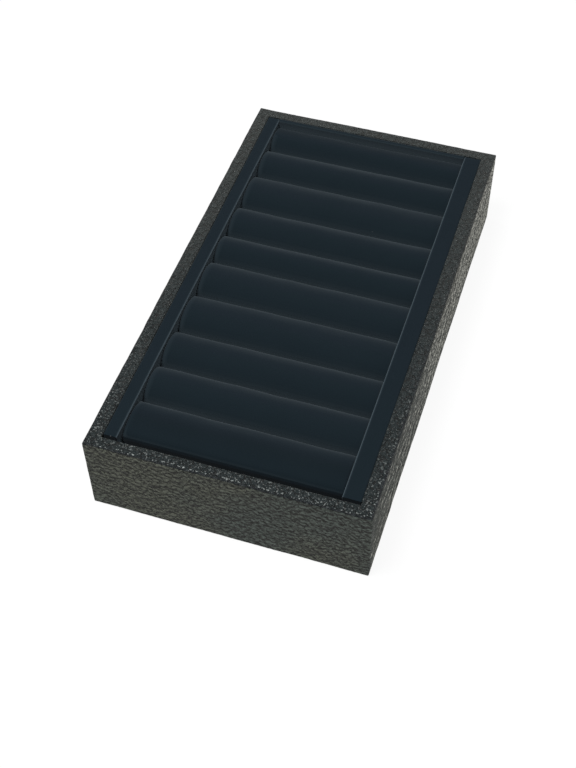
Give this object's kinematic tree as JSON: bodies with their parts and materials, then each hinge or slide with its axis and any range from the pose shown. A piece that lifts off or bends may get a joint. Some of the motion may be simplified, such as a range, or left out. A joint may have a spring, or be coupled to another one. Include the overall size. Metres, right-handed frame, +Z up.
{
  "type": "ring display tray",
  "caption": "Rectangular leatherette-covered tray holding a lift-out velvet ring pad with cross-wise foam rolls between two flat side rails.",
  "frame": {"origin": "on the table, under the middle of the tray", "axes": "+X to the right across the tray, +Y along it to the far end, +Z up"},
  "size_m": [0.11, 0.202, 0.0375],
  "materials": {
    "leatherette": "satin",
    "velvet": "matte",
    "felt": "matte",
    "foam": "matte",
    "board": "matte",
    "card": "matte"
  },
  "bodies": {
    "case": {"base_board": "board", "left_wall_board": "board", "right_wall_board": "board", "near_wall_board": "board", "far_wall_board": "board", "leatherette_wrap": "leatherette", "underside_felt": "felt"},
    "pad": {"pad_base_card": "card", "left_rail_core": "board", "left_rail_velvet": "velvet", "right_rail_core": "board", "right_rail_velvet": "velvet", "far_lining_card": "card", "far_lining_velvet": "velvet", "roll_foam_01": "foam", "roll_foam_02": "foam", "roll_foam_03": "foam", "roll_foam_04": "foam", "roll_foam_05": "foam", "roll_foam_06": "foam", "roll_foam_07": "foam", "roll_foam_08": "foam", "roll_foam_09": "foam", "roll_foam_10": "foam", "roll_velvet_01": "velvet", "roll_velvet_02": "velvet", "roll_velvet_03": "velvet", "roll_velvet_04": "velvet", "roll_velvet_05": "velvet", "roll_velvet_06": "velvet", "roll_velvet_07": "velvet", "roll_velvet_08": "velvet", "roll_velvet_09": "velvet", "roll_velvet_10": "velvet"}
  },
  "joints": [
    {"name": "pad_lift", "type": "slide", "parent": "case", "child": "pad", "axis": [0, 0, 1], "range_m": [0, 0.05]}
  ]
}
